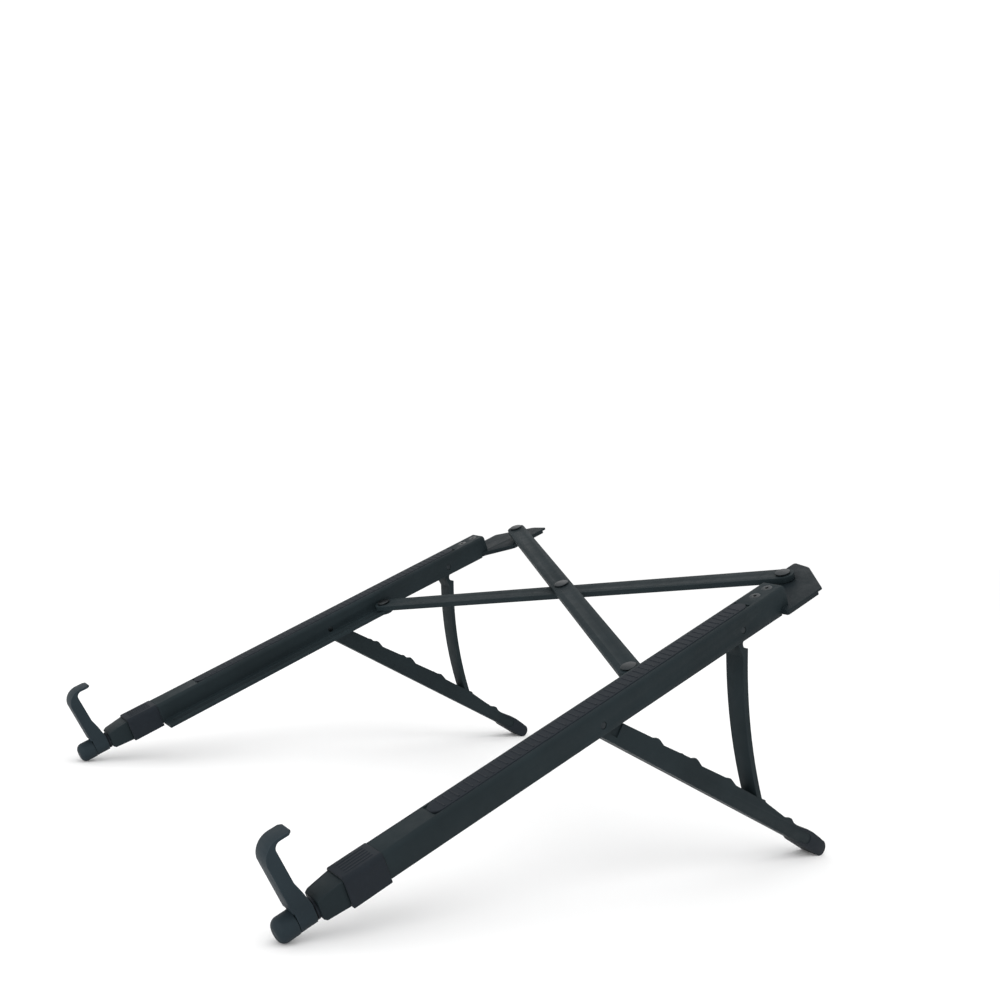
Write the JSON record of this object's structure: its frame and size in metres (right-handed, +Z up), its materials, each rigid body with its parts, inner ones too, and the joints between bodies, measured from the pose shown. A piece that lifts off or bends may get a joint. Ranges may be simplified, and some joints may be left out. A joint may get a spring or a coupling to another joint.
{
  "type": "laptop stand",
  "caption": "Folding laptop stand: two propped side rails with front hooks, toothed legs and struts, joined by a flat crossed-bar hinge.",
  "frame": {"origin": "on the table under the middle of the overall box", "axes": "+X across the stand to the right side, +Y towards the raised back, +Z up"},
  "size_m": [0.2484, 0.279, 0.1321],
  "materials": {
    "body_plastic": "moulded",
    "soft_rubber": "matte",
    "pin_steel": "satin black"
  },
  "bodies": {
    "right_frame": {"right_rail": "body_plastic", "right_front_foot": "body_plastic", "right_hook_washer": "soft_rubber", "right_front_collar": "body_plastic", "right_front_sleeve": "soft_rubber", "right_rear_plate": "body_plastic", "right_plate_screws": "pin_steel", "right_top_pad": "soft_rubber", "right_leg_pin": "pin_steel", "right_strut_pin": "pin_steel", "right_rear_pivot": "pin_steel"},
    "right_hook": {"right_hook": "body_plastic"},
    "right_leg": {"right_leg": "body_plastic", "right_leg_foot": "soft_rubber"},
    "right_strut": {"right_strut": "body_plastic"},
    "left_frame": {"left_rail": "body_plastic", "left_front_foot": "body_plastic", "left_hook_washer": "soft_rubber", "left_front_collar": "body_plastic", "left_front_sleeve": "soft_rubber", "left_rear_plate": "body_plastic", "left_plate_screws": "pin_steel", "left_top_pad": "soft_rubber", "left_leg_pin": "pin_steel", "left_strut_pin": "pin_steel", "left_rear_pivot": "pin_steel"},
    "left_hook": {"left_hook": "body_plastic"},
    "left_leg": {"left_leg": "body_plastic", "left_leg_foot": "soft_rubber"},
    "left_strut": {"left_strut": "body_plastic"},
    "lower_bar": {"cross_bar_lower": "body_plastic", "centre_rivet": "pin_steel", "left_slide_pin": "pin_steel"},
    "upper_bar": {"cross_bar_upper": "body_plastic", "right_slide_pin": "pin_steel"}
  },
  "joints": [
    {"name": "fold", "type": "hinge", "parent": "right_frame", "child": "lower_bar", "pos_m": [0.102, 0.11089, 0.12641], "axis": [0, -0.4527, 0.8917], "range_deg": [0, 60.19]},
    {"name": "cross_swing", "type": "hinge", "parent": "lower_bar", "child": "upper_bar", "pos_m": [0, 0.06701, 0.10414], "axis": [0, -0.4527, 0.8917], "range_deg": [-120.38, 0]},
    {"name": "left_frame_swing", "type": "hinge", "parent": "upper_bar", "child": "left_frame", "pos_m": [-0.102, 0.11089, 0.12641], "axis": [0, -0.4527, 0.8917], "range_deg": [0, 60.19]},
    {"name": "right_leg_fold", "type": "hinge", "parent": "right_frame", "child": "right_leg", "pos_m": [0.114, -0.00565, 0.06658], "axis": [-1, 0, 0], "range_deg": [0, 121.8]},
    {"name": "right_strut_fold", "type": "hinge", "parent": "right_frame", "child": "right_strut", "pos_m": [0.114, 0.06747, 0.1037], "axis": [-1, 0, 0], "range_deg": [0, 77.6]},
    {"name": "right_hook_swivel", "type": "hinge", "parent": "right_frame", "child": "right_hook", "pos_m": [0.114, -0.12808, 0.0051], "axis": [0, 0.8917, 0.4527], "range_deg": [0, 90]},
    {"name": "left_leg_fold", "type": "hinge", "parent": "left_frame", "child": "left_leg", "pos_m": [-0.114, -0.00565, 0.06658], "axis": [-1, 0, 0], "range_deg": [0, 121.8]},
    {"name": "left_strut_fold", "type": "hinge", "parent": "left_frame", "child": "left_strut", "pos_m": [-0.114, 0.06747, 0.1037], "axis": [-1, 0, 0], "range_deg": [0, 77.6]},
    {"name": "left_hook_swivel", "type": "hinge", "parent": "left_frame", "child": "left_hook", "pos_m": [-0.114, -0.12808, 0.0051], "axis": [0, 0.8917, 0.4527], "range_deg": [-90, 0]}
  ],
  "couplings": [
    {"joint": "cross_swing", "follows": "fold", "ratio": -2},
    {"joint": "left_frame_swing", "follows": "fold", "ratio": 1},
    {"joint": "right_strut_fold", "follows": "right_leg_fold", "ratio": 0.637},
    {"joint": "left_strut_fold", "follows": "left_leg_fold", "ratio": 0.637}
  ]
}
